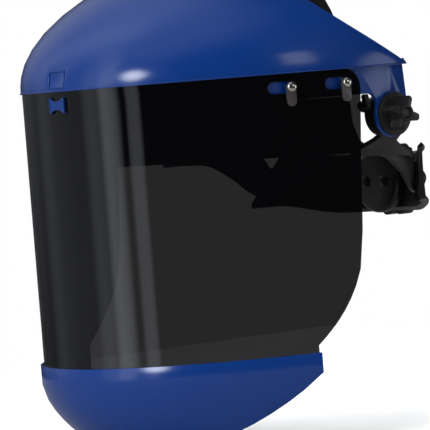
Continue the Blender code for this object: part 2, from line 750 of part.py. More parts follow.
def make_arm(side, sign, parent):
    """Arm that rises from the headband and flares out to the tilt joint."""
    foot_rows, rows = 12, []
    for i in range(foot_rows + 1):
        rise = 1.0 - i / foot_rows
        front, rear = arm_edges(rise)
        row = []
        for j in range(9):
            y = rear + (front - rear) * j / 8
            foot_z = band_top(max(y, 2.0 * MM)) - ARM_LAP
            x = on_ring(ring_angle(y))[0] + ARM_THICKNESS + 3.0 * GAP
            flare = smooth(rise * 2.3) * (1.0 - smooth((y - 12.0 * MM) / (50.0 * MM)))
            reach = x + (ARM_OUTER_X - 0.2 * MM - x) * flare
            z = foot_z + (9.0 * MM - foot_z) * rise
            row.append((sign * reach, y, z))
        rows.append(row if sign > 0 else row[::-1])
    item = sheet(f"side_arm_{side}", rows, ARM_THICKNESS)
    inner, outer = sign * ARM_INNER_X, sign * ARM_OUTER_X
    join(item, cylinder(f"arm_disc_{side}", ARM_DISC_RADIUS, (inner, 0, 0), (outer, 0, 0), 40))
    near, far = sign * (ARM_INNER_X + 0.3 * MM), sign * (ARM_OUTER_X - 0.3 * MM)
    foot = (LUG_Y + 3.6 * MM, LUG_Z - 3.0 * MM)
    join(item, cylinder(f"arm_lug_foot_{side}", LUG_FOOT_RADIUS, (near, *foot), (far, *foot), 20))
    post = (LUG_Y + 1.5 * MM, LUG_Z - 2.5 * MM)
    far = sign * (LUG_OUTER_X - 1.0 * MM)
    join(item, cylinder(f"arm_lug_post_{side}", LUG_POST_RADIUS, (near, *post), (far, *post), 16))
    lug = plate(f"arm_lug_{side}", capsule(LUG_LENGTH, LUG_WIDTH), LUG_THICKNESS)
    stand = Matrix(((0, 0, sign), (1, 0, 0), (0, sign, 0))).to_4x4()
    lean = Matrix.Rotation(sign * math.radians(-75.0), 4, "Z")
    middle = sign * (LUG_OUTER_X - LUG_THICKNESS / 2)
    lug.matrix_world = Matrix.Translation((middle, LUG_Y, LUG_Z)) @ stand @ lean
    join(item, lug)
    cut(item, bolt_bore(f"arm_bore_{side}", sign))
    return keep(item, parent, BLACK, 0.42)


# Tilt joint


def out_along_x(sign, x):
    """Frame whose Z points out sideways from the pivot, at a distance from the middle."""
    turn = Matrix(((0, 0, sign), (sign, 0, 0), (0, 1, 0))).to_4x4()
    return Matrix.Translation((sign * x, 0.0, 0.0)) @ turn


def make_washer(side, sign, parent):
    low, high = ARM_OUTER_X + GAP, EAR_INNER_X - GAP
    item = cylinder(f"pivot_washer_{side}", WASHER_RADIUS, (sign * low, 0, 0), (sign * high, 0, 0), 40)
    cut(item, bolt_bore(f"washer_bore_{side}", sign))
    return keep(item, parent, BLACK, 0.6)


def make_bolt(side, sign, parent):
    head = ARM_INNER_X - GAP - BOLT_HEAD_HEIGHT
    length = EAR_OUTER_X + GAP + KNOB_HEIGHT - BOLT_RECESS - head
    profile = [(0.0, length), (BOLT_RADIUS, length), (BOLT_RADIUS, BOLT_HEAD_HEIGHT)]
    profile += [(BOLT_HEAD_RADIUS, BOLT_HEAD_HEIGHT), (BOLT_HEAD_RADIUS, 0.8 * MM)]
    profile += [(BOLT_HEAD_RADIUS - 0.8 * MM, 0.0), (0.0, 0.0)]
    item = turned(f"pivot_bolt_{side}", profile, out_along_x(sign, head), 24)
    return keep(item, parent, NICKEL, 0.3, metallic=1.0)


def knob_outline():
    """Outline with rounded lobes and hollows between them."""
    points = []
    step = 360.0 / KNOB_LOBES
    reach = KNOB_RADIUS - KNOB_LOBE_RADIUS
    for i in range(KNOB_LOBES):
        turn = i * step + 90.0
        along = math.radians(turn)
        tip = (reach * math.cos(along), reach * math.sin(along))
        points += arc(tip, KNOB_LOBE_RADIUS, turn - 80, turn + 80, 8)
        points += arc((0.0, 0.0), KNOB_HUB_RADIUS, turn + 0.3 * step, turn + 0.7 * step, 3)
    return points


def make_knob(side, sign, parent):
    """Tension knob: lobed grip on a round flange, bored for the bolt."""
    seat = EAR_OUTER_X + GAP
    start, end = (sign * seat, 0, 0), (sign * (seat + KNOB_FLANGE_THICKNESS), 0, 0)
    item = cylinder(f"tension_knob_{side}", KNOB_FLANGE_RADIUS, start, end, 40)
    height = KNOB_HEIGHT - 0.5 * MM
    grip = plate(f"knob_grip_{side}", knob_outline(), height)
    turn = Matrix.Rotation(sign * KNOB_TURN, 4, "Z")
    grip.matrix_world = out_along_x(sign, seat + 0.5 * MM + height / 2) @ turn
    join(item, grip)
    cut(item, bolt_bore(f"knob_bore_{side}", sign))
    return keep(item, parent, BLACK, 0.42)


# Rear cradle


def rear_frame(y, z):
    """Frame at the back of the head whose Z points backwards."""
    turn = Matrix(((-1, 0, 0), (0, 0, 1), (0, 1, 0))).to_4x4()
    return Matrix.Translation((0.0, y, z)) @ turn


CRADLE_OFFSET = GAP + 0.8 * MM + CRADLE_THICKNESS
CRADLE_BACK_Y = RING_REAR + CRADLE_OFFSET


def make_cradle(parent):
    """Cradle round the back of the head, flanged along both edges."""
    edges = ((0.0, 0.0, 1.0), (0.0, -1.6, 0.0), (1.0, 1.6, 0.0), (1.0, 0.0, 1.0))
    rows = []
    for share, step, flange in edges:
        first = ring_angle(CRADLE_FRONT_Y - CRADLE_SLANT * share)
        sweep = math.pi + 2.0 * first
        row = []
        for i in range(CRADLE_COLUMNS + 1):
            angle = math.pi - first + sweep * i / CRADLE_COLUMNS
            x, y = on_ring(angle, CRADLE_OFFSET + flange * CRADLE_FLANGE)
            back = smooth((y - CRADLE_FRONT_Y) / (RING_REAR - CRADLE_FRONT_Y))
            top = CRADLE_TOP_Z[0] + (CRADLE_TOP_Z[1] - CRADLE_TOP_Z[0]) * back
            bottom = CRADLE_BOTTOM_Z[0] + (CRADLE_BOTTOM_Z[1] - CRADLE_BOTTOM_Z[0]) * back
            row.append((x, y, top + (bottom - top) * share + step * MM))
        rows.append(row)
    item = sheet("rear_cradle", rows, CRADLE_THICKNESS)
    near, far = RING_REAR - 0.02, RING_REAR + 0.02
    start, end = (0.0, near, RATCHET_Z), (0.0, far, RATCHET_Z)
    cut(item, cylinder("cradle_bore", SHAFT_RADIUS + GAP, start, end, 24))
    for name, x in cover_screws():
        start, end = (x, near, RATCHET_Z), (x, far, RATCHET_Z)
        cut(item, cylinder(f"cradle_hole_{name}", SCREW_RADIUS + GAP, start, end, 16))
    return keep(item, parent, BLACK, 0.42)


# The cover's open side just clears the cradle's curve at the cover's edge.
COVER_BACK_Y = RING_REAR * math.sqrt(1.0 - (COVER_RADIUS / RING_HALF_WIDTH) ** 2)
COVER_FLOOR_Y = COVER_BACK_Y - COVER_HEIGHT


def cover_screws():
    yield "left", SCREW_SPACING / 2
    yield "right", -SCREW_SPACING / 2


def make_cover(parent):
    """Cup over the pinion, on the inside of the cradle."""
    floor = COVER_THICKNESS - COVER_HEIGHT
    wall = COVER_RADIUS - COVER_THICKNESS
    corner = (COVER_RADIUS - COVER_CORNER, COVER_CORNER - COVER_HEIGHT)
    profile = [(0.0, floor), (wall - COVER_CORNER / 2, floor), (wall, 0.0), (COVER_RADIUS, 0.0)]
    profile += arc(corner, COVER_CORNER, 0, -90, 5) + [(0.0, -COVER_HEIGHT)]
    item = turned("ratchet_cover", profile, rear_frame(COVER_BACK_Y, RATCHET_Z), 40)
    for name, x in cover_screws():
        ends = (x, COVER_FLOOR_Y - 5.0 * MM, RATCHET_Z), (x, COVER_FLOOR_Y + 4.0 * MM, RATCHET_Z)
        cut(item, cylinder(f"cover_hole_{name}", SCREW_RADIUS + GAP, *ends, 16))
    return keep(item, parent, BLACK, 0.42)


def make_cover_screw(name, x, parent):
    """Screw through the cover into the cradle's wall."""
    length = CRADLE_BACK_Y - 1.0 * MM - COVER_FLOOR_Y
    profile = [(0.0, length), (SCREW_RADIUS, length), (SCREW_RADIUS, -GAP)]
    profile += [(SCREW_HEAD_RADIUS, -GAP), (SCREW_HEAD_RADIUS, -GAP - 0.7 * SCREW_HEAD_HEIGHT)]
    profile += [(0.7 * SCREW_HEAD_RADIUS, -GAP - SCREW_HEAD_HEIGHT), (0.0, -GAP - SCREW_HEAD_HEIGHT)]
    place = Matrix.Translation((x, 0.0, 0.0)) @ rear_frame(COVER_FLOOR_Y, RATCHET_Z)
    item = turned(f"cover_screw_{name}", profile, place, 20)
    return keep(item, parent, NICKEL, 0.3, metallic=1.0)


def toothed(radius, depth, teeth, steps):
    """Round outline whose radius rises and falls once for each tooth."""
    points = []
    for i in range(teeth * steps):
        angle = 2.0 * math.pi * i / (teeth * steps)
        reach = radius + depth * math.cos(teeth * angle)
        points.append((reach * math.cos(angle), reach * math.sin(angle)))
    return points


def make_pinion(parent):
    outline = toothed(PINION_RADIUS, 0.6 * MM, PINION_TEETH, 6)
    item = plate("ratchet_pinion", outline, PINION_HEIGHT)
    middle = COVER_FLOOR_Y + COVER_THICKNESS + 1.0 * MM + PINION_HEIGHT / 2
    item.matrix_world = rear_frame(middle, RATCHET_Z)
    ends = (0.0, RING_REAR - 0.02, RATCHET_Z), (0.0, RING_REAR + 0.02, RATCHET_Z)
    cut(item, cylinder("pinion_bore", SHAFT_RADIUS + GAP, *ends, 24))
    return keep(item, parent, NICKEL, 0.4, metallic=1.0)


def make_dial(parent):
    """Size dial at the back, with its shaft."""
    seat = CRADLE_BACK_Y + CRADLE_FLANGE + GAP
    outline = toothed(DIAL_RADIUS - DIAL_GRIP_DEPTH, DIAL_GRIP_DEPTH, DIAL_GRIPS, 8)
    item = plate("ratchet_dial", outline, DIAL_HEIGHT)
    item.matrix_world = rear_frame(seat + DIAL_HEIGHT / 2, RATCHET_Z)
    start = COVER_FLOOR_Y + COVER_THICKNESS + GAP
    ends = (0.0, start, RATCHET_Z), (0.0, seat + 2.0 * MM, RATCHET_Z)
    join(item, cylinder("dial_shaft", SHAFT_RADIUS, *ends, 24))
    return keep(item, parent, BLACK, 0.42)


def empty(name, place, parent=None):
    """Empty on a joint's axis."""
    item = bpy.data.objects.new(name, None)
    PARTS.objects.link(item)
    item.location = place
    item.parent = parent
    return item


def make_headgear():
    make_headband(None)
    make_brow_pad(None)
    make_strap_peg(None)
    for side, sign in sides():
        make_strap(side, sign, None)
        make_arm(side, sign, None)
        make_washer(side, sign, None)
        make_bolt(side, sign, None)
        make_knob(side, sign, None)


def make_shield():
    tilt = empty("shield_tilt", (0.0, 0.0, 0.0))
    make_crown(tilt)
    make_window(tilt)
    make_chin_guard(tilt)
    for name, angle in fasteners():
        make_rivet(name, angle, tilt)
        make_toggle(name, angle, tilt)


def make_rear():
    make_cradle(None)
    make_cover(None)
    for name, x in cover_screws():
        make_cover_screw(name, x, None)
    make_pinion(None)
    make_dial(None)


clear_scene()
PARTS = new_collection("face_shield")
GUIDES = new_collection("guides")
make_headgear()
make_shield()
make_rear()
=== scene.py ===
# Face shield on a ratchet headgear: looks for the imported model.
import math
import json

import bpy
from mathutils import Matrix, Vector

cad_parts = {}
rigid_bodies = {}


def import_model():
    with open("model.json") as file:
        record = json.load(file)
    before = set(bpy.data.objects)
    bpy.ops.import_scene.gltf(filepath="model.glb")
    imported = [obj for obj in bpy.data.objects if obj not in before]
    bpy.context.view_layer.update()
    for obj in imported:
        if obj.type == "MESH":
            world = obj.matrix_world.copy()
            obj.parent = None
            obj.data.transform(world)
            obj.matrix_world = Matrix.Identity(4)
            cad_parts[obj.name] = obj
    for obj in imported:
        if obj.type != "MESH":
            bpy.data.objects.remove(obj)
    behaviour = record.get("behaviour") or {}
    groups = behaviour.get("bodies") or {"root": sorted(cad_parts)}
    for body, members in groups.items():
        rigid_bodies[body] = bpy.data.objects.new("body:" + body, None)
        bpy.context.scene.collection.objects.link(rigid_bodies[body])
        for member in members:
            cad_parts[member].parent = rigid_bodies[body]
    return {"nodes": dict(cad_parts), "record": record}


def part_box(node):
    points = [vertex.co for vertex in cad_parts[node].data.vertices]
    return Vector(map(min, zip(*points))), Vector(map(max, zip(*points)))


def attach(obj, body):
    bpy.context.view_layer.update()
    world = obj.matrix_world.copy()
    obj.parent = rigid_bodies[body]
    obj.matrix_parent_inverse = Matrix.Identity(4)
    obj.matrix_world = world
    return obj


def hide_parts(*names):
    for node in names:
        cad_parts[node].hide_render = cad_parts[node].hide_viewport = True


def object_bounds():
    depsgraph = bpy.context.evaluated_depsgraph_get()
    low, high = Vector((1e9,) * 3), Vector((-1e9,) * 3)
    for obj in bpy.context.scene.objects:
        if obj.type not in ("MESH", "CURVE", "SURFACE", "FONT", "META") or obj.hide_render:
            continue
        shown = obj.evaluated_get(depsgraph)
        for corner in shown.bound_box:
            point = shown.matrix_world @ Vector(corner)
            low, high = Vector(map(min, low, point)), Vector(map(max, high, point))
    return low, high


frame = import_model()
nodes = frame["nodes"]
cadBox = [list(corner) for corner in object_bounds()]
sides = (("left", 1.0), ("right", -1.0))
topFacing = 0.9  # a face whose normal has this much Z or more is the top of a disc
print("stage: frame loaded,", len(nodes), "nodes")


def letGo():
    # an operator acts on everything selected, so nothing stays selected between pieces
    if bpy.context.object and bpy.context.object.mode != "OBJECT":
        bpy.ops.object.mode_set(mode="OBJECT")
    for each in bpy.context.view_layer.objects:
        each.select_set(False)


def takeUp(piece):
    letGo()
    piece.select_set(True)
    bpy.context.view_layer.objects.active = piece


def pickFaces(piece, test):
    # select faces by the place of their middle and their normal, then go back to edit mode
    bpy.ops.object.mode_set(mode="OBJECT")
    for edge in piece.data.edges:
        edge.select = False
    for point in piece.data.vertices:
        point.select = False
    for face in piece.data.polygons:
        face.select = test(face.center, face.normal)
    bpy.ops.object.mode_set(mode="EDIT")
    bpy.ops.mesh.select_mode(type="FACE")


def applyAll(piece):
    takeUp(piece)
    for change in list(piece.modifiers):
        bpy.ops.object.modifier_apply(modifier=change.name)


def settle(piece, place):
    # the piece is modelled at the origin, then its place goes into its mesh
    piece.data.transform(place @ piece.matrix_world)
    piece.matrix_world = Matrix()
    piece.data.update()


def soften(piece, degrees=32.0):
    takeUp(piece)
    bpy.ops.object.shade_smooth_by_angle(angle=math.radians(degrees))
    letGo()


def joinPieces(pieces, name):
    letGo()
    for each in pieces:
        each.select_set(True)
    bpy.context.view_layer.objects.active = pieces[0]
    if len(pieces) > 1:
        bpy.ops.object.join()
    joined = pieces[0]
    joined.name = name
    letGo()
    return joined


def standOn(point, normal):
    # frame on a surface whose Z stands along the normal
    return Matrix.Translation(point) @ normal.to_track_quat("Z", "Y").to_matrix().to_4x4()


# a node's triangles are merged where their corners are this close and their faces this flat
merging = {"within": 0.00001, "flat": math.radians(0.4)}


def copyNode(name, title):
    # a copy of the node with its triangles merged, left in edit mode with all of it selected
    piece = bpy.data.objects.new(title, nodes[name].data.copy())
    bpy.context.scene.collection.objects.link(piece)
    takeUp(piece)
    bpy.ops.object.mode_set(mode="EDIT")
    bpy.ops.mesh.select_all(action="SELECT")
    bpy.ops.mesh.remove_doubles(threshold=merging["within"])
    bpy.ops.mesh.dissolve_limited(angle_limit=merging["flat"])
    return piece


def onSurface(piece, start, towards):
    # where a ray from a point first meets the piece, and which way the piece faces there
    bpy.context.view_layer.update()
    seen = piece.evaluated_get(bpy.context.evaluated_depsgraph_get())
    hit, place, normal, _ = seen.ray_cast(Vector(start), Vector(towards).normalized())
    return (place.copy(), normal.copy()) if hit else (None, None)


# shader node groups that the finishes are made from
def newGroup(name, inputs, outputs):
    group = bpy.data.node_groups.new(name, "ShaderNodeTree")
    for title, kind, value in inputs:
        socket = group.interface.new_socket(name=title, in_out="INPUT", socket_type=kind)
        if value is not None:
            socket.default_value = value
    for title, kind in outputs:
        group.interface.new_socket(name=title, in_out="OUTPUT", socket_type=kind)
    start = group.nodes.new("NodeGroupInput")
    end = group.nodes.new("NodeGroupOutput")
    start.location, end.location = (-900, 0), (600, 0)
    return group, start, end


def wire(group, source, target):
    group.links.new(source, target)


def buildMouldedGrain():
    # slow drift of tone and gloss, and the fine grain of a moulded face
    group, start, end = newGroup(
        "mouldedGrain",
        [("Vector", "NodeSocketVector", None), ("Tone A", "NodeSocketColor", (0.02, 0.02, 0.02, 1.0)),
         ("Tone B", "NodeSocketColor", (0.03, 0.03, 0.03, 1.0)), ("Drift Scale", "NodeSocketFloat", 18.0),
         ("Grain Scale", "NodeSocketFloat", 1400.0), ("Gloss Low", "NodeSocketFloat", 0.3),
         ("Gloss High", "NodeSocketFloat", 0.5), ("Grain Depth", "NodeSocketFloat", 1.0)],
        [("Tone", "NodeSocketColor"), ("Gloss", "NodeSocketFloat"), ("Height", "NodeSocketFloat")])
    drift = group.nodes.new("ShaderNodeTexNoise")
    drift.inputs["Detail"].default_value = 3.0
    grain = group.nodes.new("ShaderNodeTexNoise")
    grain.inputs["Detail"].default_value = 2.0
    blend = group.nodes.new("ShaderNodeMix")
    blend.data_type = "RGBA"
    spread = group.nodes.new("ShaderNodeMapRange")
    depth = group.nodes.new("ShaderNodeMath")
    depth.operation = "MULTIPLY"
    wire(group, start.outputs["Vector"], drift.inputs["Vector"])
    wire(group, start.outputs["Vector"], grain.inputs["Vector"])
    wire(group, start.outputs["Drift Scale"], drift.inputs["Scale"])
    wire(group, start.outputs["Grain Scale"], grain.inputs["Scale"])
    wire(group, drift.outputs["Fac"], blend.inputs[0])
    wire(group, start.outputs["Tone A"], blend.inputs[6])
    wire(group, start.outputs["Tone B"], blend.inputs[7])
    wire(group, drift.outputs["Fac"], spread.inputs["Value"])
    spread.inputs["From Min"].default_value = 0.35
    spread.inputs["From Max"].default_value = 0.65
    wire(group, start.outputs["Gloss Low"], spread.inputs["To Min"])
    wire(group, start.outputs["Gloss High"], spread.inputs["To Max"])
    wire(group, grain.outputs["Fac"], depth.inputs[0])
    wire(group, start.outputs["Grain Depth"], depth.inputs[1])
    wire(group, blend.outputs[2], end.inputs["Tone"])
    wire(group, spread.outputs["Result"], end.inputs["Gloss"])
    wire(group, depth.outputs["Value"], end.inputs["Height"])
    return group


def buildFineScuffs():
    # thin scuffs that run along the piece, where it is handled
    group, start, end = newGroup(
        "fineScuffs",
        [("Vector", "NodeSocketVector", None), ("Scale", "NodeSocketFloat", 60.0),
         ("Amount", "NodeSocketFloat", 0.2)],
        [("Mask", "NodeSocketFloat")])
    stretch = group.nodes.new("ShaderNodeMapping")
    stretch.inputs["Scale"].default_value = (1.0, 1.0, 9.0)
    stretch.inputs["Rotation"].default_value = (0.5, 0.35, 0.0)
    noise = group.nodes.new("ShaderNodeTexNoise")
    noise.inputs["Detail"].default_value = 5.0
    noise.inputs["Roughness"].default_value = 0.65
    clip = group.nodes.new("ShaderNodeMapRange")
    clip.inputs["From Min"].default_value = 0.62
    clip.inputs["From Max"].default_value = 0.78
    times = group.nodes.new("ShaderNodeMath")
    times.operation = "MULTIPLY"
    wire(group, start.outputs["Vector"], stretch.inputs["Vector"])
    wire(group, stretch.outputs["Vector"], noise.inputs["Vector"])
    wire(group, start.outputs["Scale"], noise.inputs["Scale"])
    wire(group, noise.outputs["Fac"], clip.inputs["Value"])
    wire(group, clip.outputs["Result"], times.inputs[0])
    wire(group, start.outputs["Amount"], times.inputs[1])
    wire(group, times.outputs["Value"], end.inputs["Mask"])
    return group


def buildTerryKnit():
    # rows of small loops with a few pulled threads; the loop middles are painted in the lit yarn tone and the gaps
    # between them darker, in the shaded yarn tone: painted light and shade
    group, start, end = newGroup(
        "terryKnit",
        [("Vector", "NodeSocketVector", None), ("Loop Scale", "NodeSocketFloat", 900.0),
         ("Yarn", "NodeSocketColor", (0.03, 0.03, 0.032, 1.0)),
         ("Lit Yarn", "NodeSocketColor", (0.08, 0.08, 0.085, 1.0))],
        [("Tone", "NodeSocketColor"), ("Rough", "NodeSocketFloat"), ("Height", "NodeSocketFloat")])
    loops = group.nodes.new("ShaderNodeTexVoronoi")
    rows = group.nodes.new("ShaderNodeTexWave")
    rows.inputs["Scale"].default_value = 160.0
    rows.inputs["Distortion"].default_value = 2.5
    rows.bands_direction = "Z"
    mixRows = group.nodes.new("ShaderNodeMath")
    mixRows.operation = "MULTIPLY_ADD"
    mixRows.inputs[1].default_value = 0.35
    # painted light and shade: the loop middles take the lit yarn tone, the gaps and the rows lean to the shaded
    # yarn tone
    blend = group.nodes.new("ShaderNodeMix")
    blend.data_type = "RGBA"
    rough = group.nodes.new("ShaderNodeMapRange")
    rough.inputs["To Min"].default_value = 0.8
    rough.inputs["To Max"].default_value = 1.0
    wire(group, start.outputs["Vector"], loops.inputs["Vector"])
    wire(group, start.outputs["Vector"], rows.inputs["Vector"])
    wire(group, start.outputs["Loop Scale"], loops.inputs["Scale"])
    wire(group, rows.outputs["Fac"], mixRows.inputs[0])
    wire(group, loops.outputs["Distance"], mixRows.inputs[2])
    wire(group, mixRows.outputs["Value"], blend.inputs[0])
    wire(group, start.outputs["Lit Yarn"], blend.inputs[6])
    wire(group, start.outputs["Yarn"], blend.inputs[7])
    wire(group, loops.outputs["Distance"], rough.inputs["Value"])
    wire(group, blend.outputs[2], end.inputs["Tone"])
    wire(group, rough.outputs["Result"], end.inputs["Rough"])
    wire(group, mixRows.outputs["Value"], end.inputs["Height"])
    return group


mouldedGrain = buildMouldedGrain()
fineScuffs = buildFineScuffs()
terryKnit = buildTerryKnit()


def startFinish(name):
    finish = bpy.data.materials.new(name)
    finish.use_nodes = True
    tree = finish.node_tree
    shader = tree.nodes["Principled BSDF"]
    where = tree.nodes.new("ShaderNodeTexCoord")
    where.location = (-1200, 0)
    return finish, tree, shader, where


def placeGroup(tree, group, where, values):
    node = tree.nodes.new("ShaderNodeGroup")
    node.node_tree = group
    tree.links.new(where.outputs["Object"], node.inputs["Vector"])
    for title, value in values.items():
        node.inputs[title].default_value = value
    return node


def addBump(tree, height, shader, strength, distance):
    bump = tree.nodes.new("ShaderNodeBump")
    bump.inputs["Strength"].default_value = strength
    bump.inputs["Distance"].default_value = distance
    tree.links.new(height, bump.inputs["Height"])
    tree.links.new(bump.outputs["Normal"], shader.inputs["Normal"])
    return bump


plasticIor = 1.5


def plasticFinish(name, look):
    finish, tree, shader, where = startFinish(name)
    grain = placeGroup(tree, mouldedGrain, where, {
        "Tone A": (*look["tone"], 1.0), "Tone B": (*look["otherTone"], 1.0), "Drift Scale": look["drift"],
        "Grain Scale": look["grain"], "Gloss Low": look["gloss"][0], "Gloss High": look["gloss"][1]})
    scuffs = placeGroup(tree, fineScuffs, where, {"Scale": look["scuffScale"], "Amount": look["scuffs"]})
    worn = tree.nodes.new("ShaderNodeMix")
    worn.data_type = "RGBA"
    worn.inputs[7].default_value = (*look["worn"], 1.0)
    tree.links.new(scuffs.outputs["Mask"], worn.inputs[0])
    tree.links.new(grain.outputs["Tone"], worn.inputs[6])
    tree.links.new(worn.outputs[2], shader.inputs["Base Color"])
    rougher = tree.nodes.new("ShaderNodeMath")
    rougher.operation = "ADD"
    tree.links.new(grain.outputs["Gloss"], rougher.inputs[0])
    tree.links.new(scuffs.outputs["Mask"], rougher.inputs[1])
    tree.links.new(rougher.outputs["Value"], shader.inputs["Roughness"])
    addBump(tree, grain.outputs["Height"], shader, look["bump"], look["bumpDepth"])
    shader.inputs["IOR"].default_value = plasticIor
    shader.inputs["Specular IOR Level"].default_value = look.get("specular", 0.5)
    return finish


blueLook = {
    "tone": (0.0017, 0.0155, 0.0900), "otherTone": (0.0023, 0.0195, 0.1080), "drift": 9.0, "grain": 260.0,
    "gloss": (0.12, 0.18), "scuffs": 0.05, "scuffScale": 40.0, "worn": (0.03, 0.07, 0.18), "bump": 0.06,
    "bumpDepth": 0.0002}
headgearLook = {
    "tone": (0.0032, 0.0031, 0.0029), "otherTone": (0.0058, 0.0055, 0.0052), "drift": 30.0, "grain": 1500.0,
    "gloss": (0.26, 0.38), "scuffs": 0.08, "scuffScale": 70.0, "worn": (0.02, 0.019, 0.018), "bump": 0.2,
    "bumpDepth": 0.0001, "specular": 0.45}
knobLook = {
    "tone": (0.0035, 0.0035, 0.0036), "otherTone": (0.0070, 0.0068, 0.0066), "drift": 60.0, "grain": 1900.0,
    "gloss": (0.32, 0.44), "scuffs": 0.12, "scuffScale": 160.0, "worn": (0.03, 0.03, 0.03), "bump": 0.3,
    "bumpDepth": 0.0001, "specular": 0.4}
toggleLook = {
    "tone": (0.0210, 0.0190, 0.0200), "otherTone": (0.0320, 0.0290, 0.0300), "drift": 90.0, "grain": 1500.0,
    "gloss": (0.30, 0.42), "scuffs": 0.10, "scuffScale": 160.0, "worn": (0.10, 0.09, 0.09), "bump": 0.2,
    "bumpDepth": 0.0001}
fibreLook = {
    "tone": (0.0100, 0.0095, 0.0090), "otherTone": (0.0180, 0.0170, 0.0160), "drift": 220.0, "grain": 2600.0,
    "gloss": (0.70, 0.85), "scuffs": 0.10, "scuffScale": 200.0, "worn": (0.04, 0.04, 0.04), "bump": 0.5,
    "bumpDepth": 0.0002}
pinionLook = {
    "tone": (0.0300, 0.0300, 0.0300), "otherTone": (0.0450, 0.0450, 0.0450), "drift": 90.0, "grain": 1700.0,
    "gloss": (0.40, 0.52), "scuffs": 0.12, "scuffScale": 180.0, "worn": (0.1, 0.1, 0.1), "bump": 0.2,
    "bumpDepth": 0.0001}

bluePlastic = plasticFinish("bluePlastic", blueLook)
headgearPlastic = plasticFinish("headgearPlastic", headgearLook)
knobPlastic = plasticFinish("knobPlastic", knobLook)
togglePlastic = plasticFinish("togglePlastic", toggleLook)
washerFibre = plasticFinish("washerFibre", fibreLook)
pinionPlastic = plasticFinish("pinionPlastic", pinionLook)

# the edge colour is a painted highlight on the sheet's cut edges, given to faces that point up or down
smokeLook = {
    "tint": (0.0006, 0.0006, 0.0009), "edge": (0.03, 0.04, 0.06), "edgeFade": (0.55, 0.8), "cover": 0.868,
    "gloss": 0.03, "scuffs": 0.03, "scuffScale": 34.0}


def smokeFinish(name, look):
    # dark see-through sheet: its cut edges get a paler painted colour, a painted highlight that stands for the
    # light they gather, so they look paler than its faces
    finish, tree, shader, where = startFinish(name)
    scuffs = placeGroup(tree, fineScuffs, where, {"Scale": look["scuffScale"], "Amount": look["scuffs"]})
    split = tree.nodes.new("ShaderNodeSeparateXYZ")
    tree.links.new(where.outputs["Normal"], split.inputs["Vector"])
    up = tree.nodes.new("ShaderNodeMath")
    up.operation = "ABSOLUTE"
    tree.links.new(split.outputs["Z"], up.inputs[0])
    edge = tree.nodes.new("ShaderNodeMapRange")
    edge.inputs["From Min"].default_value, edge.inputs["From Max"].default_value = look["edgeFade"]
    tree.links.new(up.outputs["Value"], edge.inputs["Value"])
    # faces that point up or down, the cut edges, take the paler edge colour: a painted highlight
    tone = tree.nodes.new("ShaderNodeMix")
    tone.data_type = "RGBA"
    tone.inputs[6].default_value = (*look["tint"], 1.0)
    tone.inputs[7].default_value = (*look["edge"], 1.0)
    tree.links.new(edge.outputs["Result"], tone.inputs[0])
    tree.links.new(tone.outputs[2], shader.inputs["Base Color"])
    rough = tree.nodes.new("ShaderNodeMath")
    rough.operation = "ADD"
    rough.inputs[1].default_value = look["gloss"]
    tree.links.new(scuffs.outputs["Mask"], rough.inputs[0])
    tree.links.new(rough.outputs["Value"], shader.inputs["Roughness"])
    shader.inputs["Alpha"].default_value = look["cover"]
    shader.inputs["IOR"].default_value = plasticIor
    finish.surface_render_method = "BLENDED"
    return finish


smokeSheet = smokeFinish("smokeSheet", smokeLook)

steelLook = {"tone": (0.62, 0.60, 0.56), "turning": 420.0, "gloss": (0.20, 0.34)}
nickelLook = {"tone": (0.86, 0.82, 0.73), "turning": 900.0, "gloss": (0.10, 0.20)}
metalGrain = {"drift": 300.0, "darker": 0.9, "bump": 0.1, "bumpDepth": 0.0001}


def metalFinish(name, look):
    finish, tree, shader, where = startFinish(name)
    grain = placeGroup(tree, mouldedGrain, where, {
        "Tone A": (*look["tone"], 1.0), "Tone B": (*[metalGrain["darker"] * part for part in look["tone"]], 1.0),
        "Drift Scale": metalGrain["drift"], "Grain Scale": look["turning"], "Gloss Low": look["gloss"][0],
        "Gloss High": look["gloss"][1]})
    tree.links.new(grain.outputs["Tone"], shader.inputs["Base Color"])
    tree.links.new(grain.outputs["Gloss"], shader.inputs["Roughness"])
    addBump(tree, grain.outputs["Height"], shader, metalGrain["bump"], metalGrain["bumpDepth"])
    shader.inputs["Metallic"].default_value = 1.0
    return finish


platedSteel = metalFinish("platedSteel", steelLook)
polishedNickel = metalFinish("polishedNickel", nickelLook)

# the darker yarn tone is a shaded copy and the lit tone a lit copy of the black yarn: painted shade and painted
# light on the loops
padLook = {
    "yarn": (0.016, 0.016, 0.017), "lit": (0.050, 0.050, 0.053), "loops": 620.0, "bump": 0.7, "bumpDepth": 0.0008,
    "sheen": 0.4, "sheenRough": 0.5, "specular": 0.2}


def padFinish(name, look):
    finish, tree, shader, where = startFinish(name)
    knit = placeGroup(tree, terryKnit, where, {
        "Loop Scale": look["loops"], "Yarn": (*look["yarn"], 1.0), "Lit Yarn": (*look["lit"], 1.0)})
    tree.links.new(knit.outputs["Tone"], shader.inputs["Base Color"])
    tree.links.new(knit.outputs["Rough"], shader.inputs["Roughness"])
    addBump(tree, knit.outputs["Height"], shader, look["bump"], look["bumpDepth"])
    shader.inputs["Sheen Weight"].default_value = look["sheen"]
    shader.inputs["Sheen Roughness"].default_value = look["sheenRough"]
    shader.inputs["Specular IOR Level"].default_value = look["specular"]
    return finish


sweatband = padFinish("sweatband", padLook)


def dress(piece, finish):
    piece.data.materials.clear()
    piece.data.materials.append(finish)


